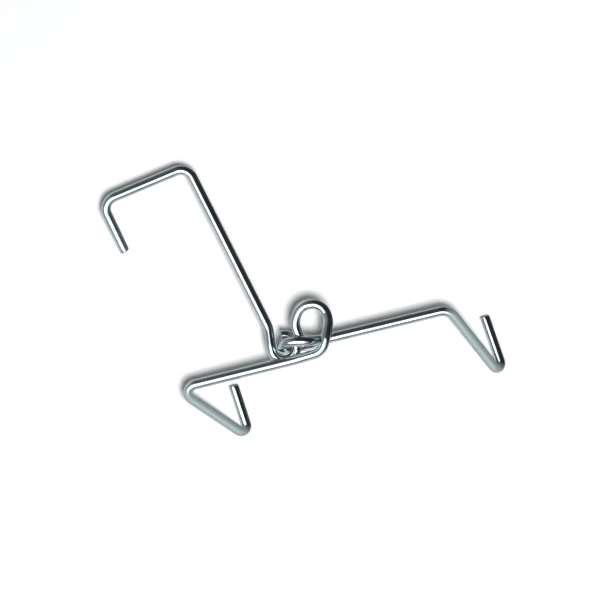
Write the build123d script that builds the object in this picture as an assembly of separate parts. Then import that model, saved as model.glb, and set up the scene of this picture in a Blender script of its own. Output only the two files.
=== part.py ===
from build123d import *
from math import cos, radians, sin
import os

# A test tube holder of bent wire: a square hanger and two footed arms, three separate wires that are
# linked loosely by the eyes bent in their ends.
# Millimetres, +Z up, the table at Z 0. The wires are laid out from the hub, where the eyes meet, with
# +X along the right arm. At the end the holder is moved so that its origin is under the middle of its
# box, on the table.

# Wire and bends, the bends as centre-line radii
wire_d = 2.3                    # bright zinc-plated steel wire
square_r = 3.2                  # the hanger's square corners
right_knee_r = 3.4              # where the right arm turns down into its foot
left_knee_r = 2.2               # the same bend, tighter, in the left arm
vee_r = 1.35                    # the sharp bend of a foot, nearly closed on itself
lying_z = wire_d / 2            # centre-line of a wire that lies on the table

# Hanger: the tip of its short leg rests on the table, its square and its eye are up
tube_run = 21.6                 # between the square's corners: room for an 18 mm tube
top_run_turn = 189.1            # direction of the top run, degrees from +X
square_corner = (-18.5, 46.0)   # between the long leg and the top run
square_z = 5.2
hanger_tip = (-37.4, 30.4, 1.12)
hanger_neck = (-8.9, 5.0, 6.35)  # where the long leg bends into its eye
eye_x, eye_y, eye_z = -6.5, -0.35, 6.5
eye_r = 2.85

# Arms: places of the knee, the sharp bend and the tip, and the height of the knee
left_knee = (-33.0, -3.7, 7.5)
left_vee = (-19.05, -19.2)
left_tip = (-20.05, -6.2)
right_knee = (32.7, -0.6, 8.1)
right_vee = (42.3, -21.05)
right_tip = (40.7, -4.3)

# Link at the right arm's end: a narrow eye on edge, through the hanger's eye and the left arm's ring
link_top_z = 11.35
link_low_z = 3.55
link_r = 3.7

# Ring at the left arm's end: a tall oval that drops from where it crosses the right arm to its end
ring_high_z = 11.1
ring_end_z = 8.7


def bent_wire(route):
    """Round wire along straight runs and tangent arcs. A route lists points with their bend radii."""
    points = [point for point, radius in route]
    radii = [radius for point, radius in route[1:-1]]
    path = FilletPolyline(*points, radius=radii)
    section = Plane(origin=path @ 0, z_dir=path % 0) * Circle(wire_d / 2)
    return sweep(section, path=path)


def foot(knee, knee_r, vee, tip):
    """Route from a foot's tip along the table to its sharp bend, and up to the knee of its arm."""
    return [((*tip, lying_z), 0), ((*vee, lying_z), vee_r), (knee, knee_r)]


def hanger():
    """Square hook on a long leg that ends in a small level eye."""
    turn = radians(top_run_turn)
    far_corner = (square_corner[0] + tube_run * cos(turn), square_corner[1] + tube_run * sin(turn))
    left, right = eye_x - eye_r, eye_x + eye_r
    low, high = eye_y - eye_r, eye_y + eye_r
    return bent_wire([
        (hanger_tip, 0),
        ((*far_corner, square_z), square_r),
        ((*square_corner, square_z), square_r),
        (hanger_neck, 2 * eye_r),
        ((left, eye_y + eye_r / 2, eye_z), 2 * eye_r),
        ((left, low, eye_z), 0.98 * eye_r),
        ((right, low, eye_z), eye_r),
        ((right, high, eye_z), 0.98 * eye_r),
        ((eye_x + 0.1, high + 0.1, eye_z), 0),
    ])


def left_arm():
    """Footed arm whose end rises over the right arm and rounds a tall ring, down to under the link."""
    return bent_wire(foot(left_knee, left_knee_r, left_vee, left_tip) + [
        ((-4.2, -3.55, 9.4), 16),
        ((1.75, -3.2, ring_high_z - 0.4), 3.2),
        ((3.6, 0.0, ring_high_z), 10),
        ((5.4, 4.2, ring_high_z - 1.0), 4.8),
        ((3.9, 7.8, ring_end_z + 1.0), 3.3),
        ((-0.5, 8.45, ring_end_z + 0.6), 3.7),
        ((-2.85, 4.9, ring_end_z + 0.2), 4.4),
        ((-2.5, 1.3, ring_end_z), 5.0),
        ((-1.7, -0.8, ring_end_z), 0),
    ])


def right_arm():
    """Footed arm whose end climbs over the ring, turns down through the hanger's eye and back."""
    return bent_wire(foot(right_knee, right_knee_r, right_vee, right_tip) + [
        ((2.9, -0.55, 7.5), 3.0),
        ((-1.0, 0.05, link_top_z), 2.2),
        ((-7.2, 1.35, link_top_z), link_r),
        ((-6.6, -1.35, link_low_z), link_r),
        ((-1.0, -2.1, link_low_z - 0.1), 6.0),
        ((3.0, -1.5, 5.1), 0),
    ])


pieces = {"hanger": hanger(), "left_arm": left_arm(), "right_arm": right_arm()}
box = Compound(children=[Solid(piece.solid().wrapped) for piece in pieces.values()]).bounding_box()
place = Pos(-box.center().X, -box.center().Y, -box.min.Z)

os.makedirs("parts", exist_ok=True)
for name, piece in pieces.items():
    export_step(place * piece, f"parts/{name}.step")
print("origin is at", -place.position.X, -place.position.Y, -place.position.Z, "from the hub")
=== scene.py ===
"""Looks of the wire test tube holder: three bent wires with sheared ends, on a white table."""

from math import ceil, cos, pi, radians, sin, tan

import bpy
from mathutils import Matrix, Vector


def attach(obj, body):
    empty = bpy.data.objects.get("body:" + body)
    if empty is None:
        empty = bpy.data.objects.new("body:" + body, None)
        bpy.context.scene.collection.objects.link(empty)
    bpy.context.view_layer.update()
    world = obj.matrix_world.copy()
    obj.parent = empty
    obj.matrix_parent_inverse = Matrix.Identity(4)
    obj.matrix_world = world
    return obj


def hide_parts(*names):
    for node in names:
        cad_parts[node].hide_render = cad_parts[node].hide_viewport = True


bl_info = {
    "name": "Wire Test Tube Holder",
    "version": (1, 0, 0),
    "blender": (4, 5, 0),
    "location": "View3D > Sidebar > Tube Holder",
    "description": "Bends the holder's three wires round the packed frame and sets its stage",
    "category": "Mesh",
}

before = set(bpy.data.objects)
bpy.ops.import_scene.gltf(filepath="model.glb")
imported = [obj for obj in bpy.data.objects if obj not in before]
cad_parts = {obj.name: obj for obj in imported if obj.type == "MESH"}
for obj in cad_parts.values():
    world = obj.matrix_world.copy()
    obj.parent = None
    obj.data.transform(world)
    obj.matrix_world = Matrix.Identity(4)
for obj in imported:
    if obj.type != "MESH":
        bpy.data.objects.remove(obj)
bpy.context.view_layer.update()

MM = 0.001
UP = Vector((0, 0, 1))

# The wires' routes, in millimetres from the hub where their eyes meet, as in the design: each point
# with the radius of the bend there. The hub is this far from the frame's origin.
HUB = Vector((-1.2406, -14.2777, 0.0))
LYING_Z = 1.15                    # centre-line of a wire that lies on the table

SQUARE_R, SQUARE_Z = 3.2, 5.2     # the hanger's square corners, and how high they are
SQUARE_CORNER = (-18.5, 46.0)     # between the hanger's long leg and its top run
TUBE_RUN = 21.6                   # between the square's corners: room for the tube
TOP_RUN_TURN = radians(189.1)     # direction of the top run
EYE_R, EYE_Z = 2.85, 6.5          # the hanger's eye
VEE_R = 1.35                      # the sharp bend of a foot
RING_HIGH_Z, RING_END_Z = 11.1, 8.7
LINK_TOP_Z, LINK_LOW_Z, LINK_R = 11.35, 3.55, 3.7

HANGER_ROUTE = [
    ((-37.4, 30.4, 1.12), 0),
    ((SQUARE_CORNER[0] + TUBE_RUN * cos(TOP_RUN_TURN),
      SQUARE_CORNER[1] + TUBE_RUN * sin(TOP_RUN_TURN), SQUARE_Z), SQUARE_R),
    ((*SQUARE_CORNER, SQUARE_Z), SQUARE_R),
    ((-8.9, 5.0, 6.35), 2 * EYE_R),
    ((-9.35, 1.075, EYE_Z), 2 * EYE_R),
    ((-9.35, -3.2, EYE_Z), 0.98 * EYE_R),
    ((-3.65, -3.2, EYE_Z), EYE_R),
    ((-3.65, 2.5, EYE_Z), 0.98 * EYE_R),
    ((-6.4, 2.6, EYE_Z), 0),
]
LEFT_ARM_ROUTE = [
    ((-20.05, -6.2, LYING_Z), 0),
    ((-19.05, -19.2, LYING_Z), VEE_R),
    ((-33.0, -3.7, 7.5), 2.2),
    ((-4.2, -3.55, 9.4), 16),
    ((1.75, -3.2, RING_HIGH_Z - 0.4), 3.2),
    ((3.6, 0.0, RING_HIGH_Z), 10),
    ((5.4, 4.2, RING_HIGH_Z - 1.0), 4.8),
    ((3.9, 7.8, RING_END_Z + 1.0), 3.3),
    ((-0.5, 8.45, RING_END_Z + 0.6), 3.7),
    ((-2.85, 4.9, RING_END_Z + 0.2), 4.4),
    ((-2.5, 1.3, RING_END_Z), 5.0),
    ((-1.7, -0.8, RING_END_Z), 0),
]
RIGHT_ARM_ROUTE = [
    ((40.7, -4.3, LYING_Z), 0),
    ((42.3, -21.05, LYING_Z), VEE_R),
    ((32.7, -0.6, 8.1), 3.4),
    ((2.9, -0.55, 7.5), 3.0),
    ((-1.0, 0.05, LINK_TOP_Z), 2.2),
    ((-7.2, 1.35, LINK_TOP_Z), LINK_R),
    ((-6.6, -1.35, LINK_LOW_Z), LINK_R),
    ((-1.0, -2.1, LINK_LOW_Z - 0.1), 6.0),
    ((3.0, -1.5, 5.1), 0),
]
VEE_TO_KNEE = (0, 1)              # the bends at the ends of a foot's inner leg, whose flat grey is painted reflection


# ---------------------------------------------------------------- sizes and colours a user would change
class WireSizes(bpy.types.PropertyGroup):
    """Sizes of the wire and of the marks that cutting and bending leave on it."""

    diameter: bpy.props.FloatProperty(
        name="Diameter", description="Diameter of the plated wire",
        default=2.3 * MM, min=0.5 * MM, max=6 * MM, unit="LENGTH")
    sides: bpy.props.IntProperty(
        name="Sides", description="Faces round the wire", default=48, min=12, max=96)
    run_step: bpy.props.FloatProperty(
        name="Run step", description="Longest face along a straight run",
        default=1.5 * MM, min=0.3 * MM, max=10 * MM, unit="LENGTH")
    bend_step: bpy.props.FloatProperty(
        name="Bend step", description="Turn of one face round a bend",
        default=radians(4), min=radians(1), max=radians(15), subtype="ANGLE")
    pinch: bpy.props.FloatProperty(
        name="Pinch", description="How much a tight bend thins the wire, as a share of its diameter",
        default=0.035, min=0, max=0.2, subtype="FACTOR")
    shear_angle: bpy.props.FloatProperty(
        name="Shear angle", description="How far a cut end is out of square",
        default=radians(7), min=0, max=radians(30), subtype="ANGLE")
    stub: bpy.props.FloatProperty(
        name="Stub", description="Last straight bit of the wire, which the shear leaves out of square",
        default=0.6 * MM, min=0.1 * MM, max=3 * MM, unit="LENGTH")
    rollover: bpy.props.FloatProperty(
        name="Rollover", description="Rounding that the shear blade leaves at a cut end",
        default=0.16 * MM, min=0, max=0.5 * MM, unit="LENGTH")


class FinishColours(bpy.types.PropertyGroup):
    """Colours of the finishes, as sRGB hex."""

    zinc: bpy.props.StringProperty(
        name="Zinc", description="Clean zinc plate", default="D6DADB")
    zinc_blue: bpy.props.StringProperty(
        name="Passivated zinc", description="Zinc plate under its blue passivation", default="B8C6C9")
    # this grey serves the random dull patches of the plate and also the painted reflection on the feet's
    # sloping legs
    zinc_dull_and_painted_reflection: bpy.props.StringProperty(
        name="Dull zinc", description="Zinc plate where handling has dulled it", default="A3B0B0")
    sheared: bpy.props.StringProperty(
        name="Sheared face", description="Zinc over the torn face of a cut end", default="A6A4A0")
    table: bpy.props.StringProperty(
        name="Table", description="The plain table", default="F4F4F4")


# ---------------------------------------------------------------- nodes and colours
def linear(hex_colour, alpha=1.0):
    """An sRGB hex colour as the linear colour that shaders take."""
    channels = [int(hex_colour[i:i + 2], 16) / 255 for i in (0, 2, 4)]
    return [c / 12.92 if c <= 0.04045 else ((c + 0.055) / 1.055) ** 2.4 for c in channels] + [alpha]


def add_node(tree, kind, settings=None, inputs=None):
    """Adds a shader node, sets its properties, and sets or links its inputs."""
    node = tree.nodes.new(kind)
    for name, value in (settings or {}).items():
        setattr(node, name, value)
    for name, value in (inputs or {}).items():
        if isinstance(value, bpy.types.NodeSocket):
            tree.links.new(value, node.inputs[name])
        else:
            node.inputs[name].default_value = value
    return node


def pattern(size_mm):
    """The scale that gives a noise pattern blots of this size, in millimetres."""
    return 1 / (size_mm * MM)


def new_material(name):
    """An empty node material, with its tree and its output."""
    material = bpy.data.materials.new(name)
    material.use_nodes = True
    material.node_tree.nodes.clear()
    return material, material.node_tree, add_node(material.node_tree, "ShaderNodeOutputMaterial")


def bright_zinc_plate():
    """Bright zinc electroplate on drawn steel wire, blue passivated: a clear, slightly soft mirror with
    faint lines along the wire from the drawing die, and cloudy patches of blue and of dull plate. Where
    the piece's "dulled" attribute says so, the plate is painted a flat grey, rougher and less of a mirror:
    painted reflection, standing in for the even grey that a foot's sloping leg mirrors."""
    if "bright_zinc_plate" in bpy.data.materials:
        return bpy.data.materials["bright_zinc_plate"]
    colours = bpy.context.scene.finish_colours
    material, tree, output = new_material("bright_zinc_plate")
    place = add_node(tree, "ShaderNodeTexCoord")
    # the passivation drifts over several millimetres, and the dull spots over one or two
    cloud = add_node(tree, "ShaderNodeTexNoise", None, {
        "Vector": place.outputs["Object"], "Scale": pattern(7.7), "Detail": 3.0, "Roughness": 0.55})
    patch = add_node(tree, "ShaderNodeTexNoise", None, {
        "Vector": place.outputs["Object"], "Scale": pattern(2.38), "Detail": 4.0, "Roughness": 0.6})
    blue_part = add_node(tree, "ShaderNodeMapRange", None, {
        "Value": cloud.outputs["Fac"], "From Min": 0.4, "From Max": 0.66})
    # the attribute marks the feet's sloping legs, painted a flat grey as painted reflection: it stands in
    # for the even grey those legs mirror
    painted_reflection_mask = add_node(tree, "ShaderNodeAttribute", {"attribute_name": "dulled"})
    spots = add_node(tree, "ShaderNodeMapRange", None, {
        "Value": patch.outputs["Fac"], "From Min": 0.56, "From Max": 0.74, "To Max": 0.6})
    # random dull patches of the plate, and the painted reflection on the feet's sloping legs
    dull_spots_and_painted_reflection = add_node(tree, "ShaderNodeMath", {"operation": "MAXIMUM"}, {
        0: spots.outputs["Result"], 1: painted_reflection_mask.outputs["Fac"]})
    tinted = add_node(tree, "ShaderNodeMix", {"data_type": "RGBA"}, {
        0: blue_part.outputs["Result"], 6: linear(colours.zinc), 7: linear(colours.zinc_blue)})
    colour = add_node(tree, "ShaderNodeMix", {"data_type": "RGBA"}, {
        0: dull_spots_and_painted_reflection.outputs["Value"], 6: tinted.outputs[2], 7: linear(colours.zinc_dull_and_painted_reflection)})
    # the die's lines run along the wire: UV X goes once round it and UV Y along it, in wire girths.
    # Real ones are finer: 26 to the girth, 0.3 mm apart, is what can still be seen
    along = add_node(tree, "ShaderNodeMapping", None, {
        "Vector": place.outputs["UV"], "Scale": (26.0, 0.5, 1.0)})
    lines = add_node(tree, "ShaderNodeTexNoise", None, {
        "Vector": along.outputs["Vector"], "Scale": 1.0, "Detail": 3.0, "Roughness": 0.6})
    gloss = add_node(tree, "ShaderNodeMapRange", None, {
        "Value": patch.outputs["Fac"], "From Min": 0.3, "From Max": 0.75, "To Min": 0.05, "To Max": 0.12})
    # where the painted reflection is, the roughness rises by 0.42 and only 0.4 of a mirror is left
    roughness = add_node(tree, "ShaderNodeMath", {"operation": "MULTIPLY_ADD"}, {
        0: painted_reflection_mask.outputs["Fac"], 1: 0.42, 2: gloss.outputs["Result"]})
    metal_part = add_node(tree, "ShaderNodeMath", {"operation": "MULTIPLY_ADD"}, {
        0: painted_reflection_mask.outputs["Fac"], 1: -0.6, 2: 1.0})
    bump = add_node(tree, "ShaderNodeBump", None, {
        "Height": lines.outputs["Fac"], "Strength": 0.15, "Distance": 0.02 * MM})
    shader = add_node(tree, "ShaderNodeBsdfPrincipled", None, {
        "Base Color": colour.outputs[2], "Metallic": metal_part.outputs["Value"],
        "Roughness": roughness.outputs["Value"], "Normal": bump.outputs["Normal"]})
    tree.links.new(shader.outputs["BSDF"], output.inputs["Surface"])
    return material


def sheared_face():
    """Zinc over a sheared end: the torn steel under it leaves it grainy, darker and only half a mirror."""
    if "sheared_face" in bpy.data.materials:
        return bpy.data.materials["sheared_face"]
    colours = bpy.context.scene.finish_colours
    material, tree, output = new_material("sheared_face")
    place = add_node(tree, "ShaderNodeTexCoord")
    grain = add_node(tree, "ShaderNodeTexNoise", None, {
        "Vector": place.outputs["Object"], "Scale": pattern(0.192), "Detail": 4.0, "Roughness": 0.65})
    shade = add_node(tree, "ShaderNodeMapRange", None, {
        "Value": grain.outputs["Fac"], "From Min": 0.3, "From Max": 0.7, "To Min": 0.75, "To Max": 1.1})
    colour = add_node(tree, "ShaderNodeMix", {"data_type": "RGBA", "blend_type": "MULTIPLY"}, {
        0: 1.0, 6: linear(colours.sheared), 7: shade.outputs["Result"]})
    bump = add_node(tree, "ShaderNodeBump", None, {
        "Height": grain.outputs["Fac"], "Strength": 0.5, "Distance": 0.03 * MM})
    shader = add_node(tree, "ShaderNodeBsdfPrincipled", None, {
        "Base Color": colour.outputs[2], "Metallic": 0.6, "Roughness": 0.42,
        "Normal": bump.outputs["Normal"]})
    tree.links.new(shader.outputs["BSDF"], output.inputs["Surface"])
    return material


# ---------------------------------------------------------------- bending a wire
FEWEST_STEPS = 3                                              # round any bend
PINCHED_IN_FULL = 1.5                                         # bends under this many wire diameters
ROLLOVER_TURNS = [radians(turn) for turn in (30, 60, 85)]     # the steps of a cut end's rounded rim
TORN_RINGS = ((0.3, 0.03), (0.25, 0.05))                      # width and rise on its face, in wire radii
SMOOTH_ANGLE = radians(35)


def deselect_all():
    if bpy.context.object and bpy.context.object.mode != "OBJECT":
        bpy.ops.object.mode_set(mode="OBJECT")
    bpy.ops.object.select_all(action="DESELECT")


def bends_of(points, radii):
    """Each bend of a route: where it starts, its centre, axis, angle and radius."""
    bends = []
    for before, corner, after, radius in zip(points, points[1:], points[2:], radii[1:]):
        arrive = (corner - before).normalized()
        leave = (after - corner).normalized()
        angle = arrive.angle(leave)
        start = corner - arrive * radius * tan(angle / 2)
        axis = arrive.cross(leave).normalized()
        bends.append((start, start + axis.cross(arrive) * radius, axis, angle, radius))
    return bends


def extrude_run(vector, step):
    """Pulls the selected ring along a straight run, in steps."""
    count = max(1, ceil(vector.length / step))
    for _ in range(count):
        bpy.ops.mesh.extrude_region_move(TRANSFORM_OT_translate={"value": vector / count})


def thin_ring(factor, ring_centre, outward):
    """Scales the selected ring about its own centre, along one direction only."""
    side = outward.orthogonal().normalized()
    frame_axes = Matrix((side, outward.cross(side), outward)).transposed()
    bpy.ops.transform.resize(
        value=(1, 1, factor), orient_type="GLOBAL", orient_matrix=frame_axes,
        orient_matrix_type="GLOBAL", constraint_axis=(False, False, True),
        center_override=ring_centre)


def spin_bend(bend, sizes):
    """Turns the selected ring round a bend and returns where the bend ends. The wire is a little
    thinner half way round, where the bending pin pressed it."""
    start, centre, axis, angle, radius = bend
    count = max(FEWEST_STEPS, ceil(angle / sizes.bend_step))
    tight = min(1, PINCHED_IN_FULL * sizes.diameter / radius)
    was = 1.0
    arm = start - centre
    for i in range(1, count + 1):
        bpy.ops.mesh.spin(steps=1, angle=-angle / count, center=centre, axis=axis)
        arm = Matrix.Rotation(angle / count, 3, axis) @ arm
        now = 1 - sizes.pinch * tight * sin(pi * i / count) ** 2
        thin_ring(now / was, centre + arm, arm.normalized())
        was = now
    return centre + arm


def select_ring(piece, first, sides):
    """Selects one ring of the wire by its place in the order that the rings were made."""
    bpy.ops.object.mode_set(mode="OBJECT")
    mesh = piece.data
    ring = range(first, first + sides)
    for vertex in mesh.vertices:
        vertex.select = vertex.index in ring
    for edge in mesh.edges:
        edge.select = all(v in ring for v in edge.vertices)
    for face in mesh.polygons:
        face.select = False
    bpy.ops.object.mode_set(mode="EDIT")


def shear_end(piece, first, outward, centre, sizes):
    """Closes a wire as a shear leaves it: out of square, rounded at the rim, with a raised torn face."""
    select_ring(piece, first, sizes.sides)
    stub = sizes.stub
    radius = sizes.diameter / 2
    bpy.ops.mesh.extrude_region_move(TRANSFORM_OT_translate={"value": outward * stub})
    end = centre + outward * stub
    hinge_line = outward.orthogonal().normalized()
    bpy.ops.transform.rotate(
        value=-sizes.shear_angle, orient_axis="Z", orient_type="GLOBAL",
        orient_matrix=Matrix((hinge_line.cross(outward), outward, hinge_line)).transposed(),
        orient_matrix_type="GLOBAL", constraint_axis=(False, False, True), center_override=end)
    normal = Matrix.Rotation(sizes.shear_angle, 3, hinge_line) @ outward
    reached, width = 0.0, radius
    for turn in ROLLOVER_TURNS:
        forward, narrow = sizes.rollover * sin(turn), radius - sizes.rollover * (1 - cos(turn))
        bpy.ops.mesh.extrude_region_move(
            TRANSFORM_OT_translate={"value": normal * (forward - reached)})
        end += normal * (forward - reached)
        bpy.ops.transform.resize(value=(narrow / width,) * 3, center_override=end)
        reached, width = forward, narrow
    bpy.ops.mesh.edge_face_add()
    piece.active_material_index = 1
    bpy.ops.object.material_slot_assign()
    for width, rise in TORN_RINGS:
        bpy.ops.mesh.inset(thickness=width * radius, depth=rise * radius)
    bpy.ops.mesh.poke()


def unroll(mesh, lengths, sides, girth):
    """UV of the wire: X once round it, Y along it in girths, so that a pattern follows the bends."""
    layer = mesh.uv_layers.new(name="UVMap")
    for face in mesh.polygons:
        rows = [v // sides for v in face.vertices]
        turns = [v % sides for v in face.vertices]
        if max(rows) >= len(lengths):
            continue
        seam = max(turns) - min(turns) > 1
        for loop, row, turn in zip(face.loop_indices, rows, turns):
            layer.data[loop].uv = ((turn or (sides if seam else 0)) / sides, lengths[row] / girth)


def paint_leg_reflection(mesh, lengths, sides, start, end, fade):
    """Marks the stretch of a wire between two places along it for painted reflection: a flat grey that
    stands in for the even grey a foot's sloping leg mirrors. Each end fades over the given length."""
    layer = mesh.attributes.new(name="dulled", type="FLOAT", domain="POINT")
    for vertex in mesh.vertices:
        row = vertex.index // sides
        along = lengths[row] if row < len(lengths) else 0.0
        inside = min(along - start, end - along) / fade
        layer.data[vertex.index].value = min(1.0, max(0.0, 0.5 + inside))


def bend_wire(name, route, body, sizes, painted_reflection_bends=None):
    """Bends one wire along its route, shears its ends, and lets it stand for the CAD node of its name.
    Between the two bends given last, the plate is painted a flat grey: painted reflection, standing in for
    the even grey that the sloping leg mirrors."""
    points = [(HUB + Vector(point)) * MM for point, radius in route]
    radii = [radius * MM for point, radius in route[:-1]]
    first_way = (points[1] - points[0]).normalized()
    last_way = (points[-1] - points[-2]).normalized()
    trim = sizes.stub + sizes.rollover
    points[0] += first_way * trim
    points[-1] -= last_way * trim

    deselect_all()
    bpy.ops.mesh.primitive_circle_add(
        vertices=sizes.sides, radius=sizes.diameter / 2, location=points[0],
        rotation=first_way.to_track_quat("Z", "Y").to_euler())
    piece = bpy.context.object
    piece.name = piece.data.name = name
    bpy.ops.object.transform_apply(location=True, rotation=True, scale=True)
    for material in (bright_zinc_plate(), sheared_face()):
        piece.data.materials.append(material)
    bpy.ops.object.mode_set(mode="EDIT")
    bpy.ops.mesh.select_all(action="SELECT")
    at = points[0]
    middles = []
    for bend in bends_of(points, radii):
        extrude_run(bend[0] - at, sizes.run_step)
        at = spin_bend(bend, sizes)
        middles.append((bend[0] + at) / 2)
    extrude_run(points[-1] - at, sizes.run_step)
    bpy.ops.object.mode_set(mode="OBJECT")

    sides = sizes.sides
    corners = [v.co.copy() for v in piece.data.vertices]
    centres = [sum(corners[i:i + sides], Vector()) / sides for i in range(0, len(corners), sides)]
    lengths = [0.0]
    for here, there in zip(centres, centres[1:]):
        lengths.append(lengths[-1] + (there - here).length)
    shear_end(piece, 0, -first_way, points[0], sizes)
    shear_end(piece, len(corners) - sides, last_way, points[-1], sizes)
    bpy.ops.mesh.select_all(action="SELECT")
    bpy.ops.mesh.normals_make_consistent(inside=False)
    bpy.ops.object.mode_set(mode="OBJECT")
    unroll(piece.data, lengths, sides, pi * sizes.diameter)
    # the flat grey between these bends is painted reflection, for the even grey the sloping leg mirrors
    if painted_reflection_bends:
        rows = [min(range(len(centres)), key=lambda row: (centres[row] - middles[bend]).length)
                for bend in painted_reflection_bends]
        paint_leg_reflection(piece.data, lengths, sides, *[lengths[row] for row in rows], sizes.diameter)
    bpy.ops.object.shade_smooth_by_angle(angle=SMOOTH_ANGLE)
    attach(piece, body)
    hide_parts(body)


# ---------------------------------------------------------------- stage
VIEW_MIDDLE = Vector((-1.54, -4.64, 5.0)) * MM    # what the camera looks straight down at
VIEW_TURN = radians(13.6)                         # how far the right arm rises across the view
VIEW_WIDTH = 139.5 * MM                           # seen from side to side at that point
CAMERA_HEIGHT = 0.9                               # over that point, in metres
SENSOR_WIDTH = 36                                 # in millimetres
TABLE_SIZE = 6                                    # in metres, wide enough for every view

# The surroundings' brightness below and above the level of the table, the heights between which it
# changes, and the direction they darken towards
GROUND_LIGHT, SKY_LIGHT = 0.76, 0.32
GROUND_TO_SKY = (-0.14, 0.04)
DARK_SIDE = (0.74, 0.58, 0.35)
DARK_FROM, DARK_TO = -0.3, 0.72   # how far towards the dark side it starts and is darkest
BRIGHTEST, DARKEST = 1.18, 0.12   # what the brightness is multiplied by at those two


def add_table():
    """A plain table of matt white laminate, whose faint speckle keeps its sheen uneven."""
    deselect_all()
    bpy.ops.mesh.primitive_plane_add(size=TABLE_SIZE, location=(0, 0, 0))
    table = bpy.context.object
    table.name = "table"
    table.visible_glossy = False      # the wires mirror the studio's even grey below them instead
    material, tree, output = new_material("white_laminate")
    place = add_node(tree, "ShaderNodeTexCoord")
    speckle = add_node(tree, "ShaderNodeTexNoise", None, {
        "Vector": place.outputs["Object"], "Scale": pattern(1.11), "Detail": 2.0})
    rough = add_node(tree, "ShaderNodeMapRange", None, {
        "Value": speckle.outputs["Fac"], "To Min": 0.75, "To Max": 0.9})
    shader = add_node(tree, "ShaderNodeBsdfPrincipled", None, {
        "Base Color": linear(bpy.context.scene.finish_colours.table), "Roughness": rough.outputs["Result"],
        "Specular IOR Level": 0.1})
    tree.links.new(shader.outputs["BSDF"], output.inputs["Surface"])
    table.data.materials.append(material)


def view_direction(across, up, lift):
    """A direction given across, up and out of the camera's view, as a direction in the frame."""
    right = Vector((cos(VIEW_TURN), -sin(VIEW_TURN), 0))
    top = Vector((sin(VIEW_TURN), cos(VIEW_TURN), 0))
    return (right * across + top * up + UP * lift).normalized()


def add_surroundings():
    """Grey surroundings, lighter below the table's level, and dark towards the upper right of the view,
    which gives each wire its dark band."""
    world = bpy.data.worlds.new("studio")
    bpy.context.scene.world = world
    world.use_nodes = True
    tree = world.node_tree
    tree.nodes.clear()
    place = add_node(tree, "ShaderNodeTexCoord")
    lean = add_node(tree, "ShaderNodeVectorMath", {"operation": "DOT_PRODUCT"}, {
        0: place.outputs["Generated"], 1: view_direction(*DARK_SIDE)})
    height = add_node(tree, "ShaderNodeSeparateXYZ", None, {"Vector": place.outputs["Generated"]})
    base = add_node(tree, "ShaderNodeMapRange", {"interpolation_type": "SMOOTHSTEP"}, {
        "Value": height.outputs["Z"], "From Min": GROUND_TO_SKY[0], "From Max": GROUND_TO_SKY[1],
        "To Min": GROUND_LIGHT, "To Max": SKY_LIGHT})
    dark = add_node(tree, "ShaderNodeMapRange", {"interpolation_type": "SMOOTHSTEP"}, {
        "Value": lean.outputs["Value"], "From Min": DARK_FROM, "From Max": DARK_TO,
        "To Min": BRIGHTEST, "To Max": DARKEST})
    level = add_node(tree, "ShaderNodeMath", {"operation": "MULTIPLY"}, {
        0: base.outputs["Result"], 1: dark.outputs["Result"]})
    sky = add_node(tree, "ShaderNodeBackground", None, {
        "Color": linear("EBF1F3"), "Strength": level.outputs["Value"]})
    output = add_node(tree, "ShaderNodeOutputWorld")
    tree.links.new(sky.outputs["Background"], output.inputs["Surface"])


def add_softbox(name, direction, distance, size, watts, shine=True, cast=True):
    """A square soft light that looks at the holder. Without shine it isn't seen in reflections, and
    without cast it is seen only there: it lights nothing and throws no shadow."""
    deselect_all()
    place = VIEW_MIDDLE + direction * distance
    turn = direction.to_track_quat("Z", "Y").to_euler()
    bpy.ops.object.light_add(type="AREA", location=place, rotation=turn)
    lamp = bpy.context.object
    lamp.name = lamp.data.name = name
    lamp.data.shape = "SQUARE"
    lamp.data.size = size
    lamp.data.energy = watts
    lamp.visible_glossy = shine
    lamp.visible_diffuse = cast
    lamp.visible_camera = False
    return lamp


def add_lights():
    """A key light nearly overhead for the shadows, two large softboxes that the wires mirror as their
    white bands, and a dim bluish one at the side."""
    add_softbox("key", view_direction(0.11, -0.16, 1), 0.8, 0.18, 6.7, shine=False)
    add_softbox("white_band", view_direction(-0.14, -0.43, 1), 0.5, 0.44, 1.4, cast=False)
    add_softbox("left_band", view_direction(-0.52, -0.38, 0.76), 0.5, 0.32, 0.6, cast=False)
    side = add_softbox("side_fill", view_direction(0.50, -0.55, 1), 0.5, 0.3, 0.28, cast=False)
    side.data.color = linear("D2ECE8")[:3]


def add_camera():
    """Straight down on the holder, turned so that the right arm rises across the view."""
    deselect_all()
    bpy.ops.object.camera_add(location=VIEW_MIDDLE + UP * CAMERA_HEIGHT, rotation=(0, 0, -VIEW_TURN))
    camera = bpy.context.object
    camera.name = "camera"
    camera.data.sensor_width = SENSOR_WIDTH
    camera.data.lens = camera.data.sensor_width * CAMERA_HEIGHT / VIEW_WIDTH
    camera.data.clip_start = 0.01
    scene = bpy.context.scene
    scene.camera = camera
    scene.view_settings.view_transform = "Standard"


# ---------------------------------------------------------------- operators
class BendHanger(bpy.types.Operator):
    """Bends the hanger: square hook, long leg and small round eye"""

    bl_idname = "tube_holder.bend_hanger"
    bl_label = "Bend hanger"

    def execute(self, context):
        bend_wire("hanger_wire", HANGER_ROUTE, "hanger", context.scene.wire_sizes)
        return {"FINISHED"}


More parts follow.
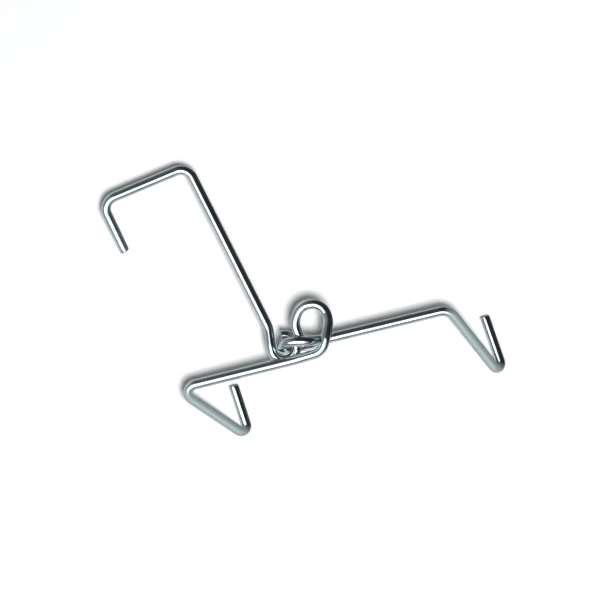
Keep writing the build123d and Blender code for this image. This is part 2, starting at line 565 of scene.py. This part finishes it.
class BendLeftArm(bpy.types.Operator):
    """Bends the left arm: V foot, arm and tall oval ring"""

    bl_idname = "tube_holder.bend_left_arm"
    bl_label = "Bend left arm"

    def execute(self, context):
        bend_wire("left_arm_wire", LEFT_ARM_ROUTE, "left_arm", context.scene.wire_sizes, VEE_TO_KNEE)
        return {"FINISHED"}


class BendRightArm(bpy.types.Operator):
    """Bends the right arm: V foot, arm and narrow link eye on edge"""

    bl_idname = "tube_holder.bend_right_arm"
    bl_label = "Bend right arm"

    def execute(self, context):
        bend_wire("right_arm_wire", RIGHT_ARM_ROUTE, "right_arm", context.scene.wire_sizes, VEE_TO_KNEE)
        return {"FINISHED"}


class SetStage(bpy.types.Operator):
    """Adds the plain table, the soft lights, the surroundings and the camera"""

    bl_idname = "tube_holder.set_stage"
    bl_label = "Set stage"

    def execute(self, context):
        add_table()
        add_surroundings()
        add_lights()
        add_camera()
        return {"FINISHED"}


class TUBEHOLDER_PT_panel(bpy.types.Panel):
    """Lists the holder's operators and sizes"""

    bl_label = "Wire tube holder"
    bl_space_type = "VIEW_3D"
    bl_region_type = "UI"
    bl_category = "Tube Holder"

    def draw(self, context):
        for group in (context.scene.wire_sizes, context.scene.finish_colours):
            for name in group.__annotations__:
                self.layout.prop(group, name)
        for operator in OPERATORS:
            self.layout.operator(operator.bl_idname)


OPERATORS = (BendHanger, BendLeftArm, BendRightArm, SetStage)
CLASSES = (WireSizes, FinishColours, *OPERATORS, TUBEHOLDER_PT_panel)


def register():
    for cls in CLASSES:
        bpy.utils.register_class(cls)
    bpy.types.Scene.wire_sizes = bpy.props.PointerProperty(type=WireSizes)
    bpy.types.Scene.finish_colours = bpy.props.PointerProperty(type=FinishColours)


def unregister():
    del bpy.types.Scene.finish_colours
    del bpy.types.Scene.wire_sizes
    for cls in reversed(CLASSES):
        bpy.utils.unregister_class(cls)


def main():
    register()
    for name in ("bend_hanger", "bend_left_arm", "bend_right_arm", "set_stage"):
        getattr(bpy.ops.tube_holder, name)()


if __name__ == "__main__":
    main()
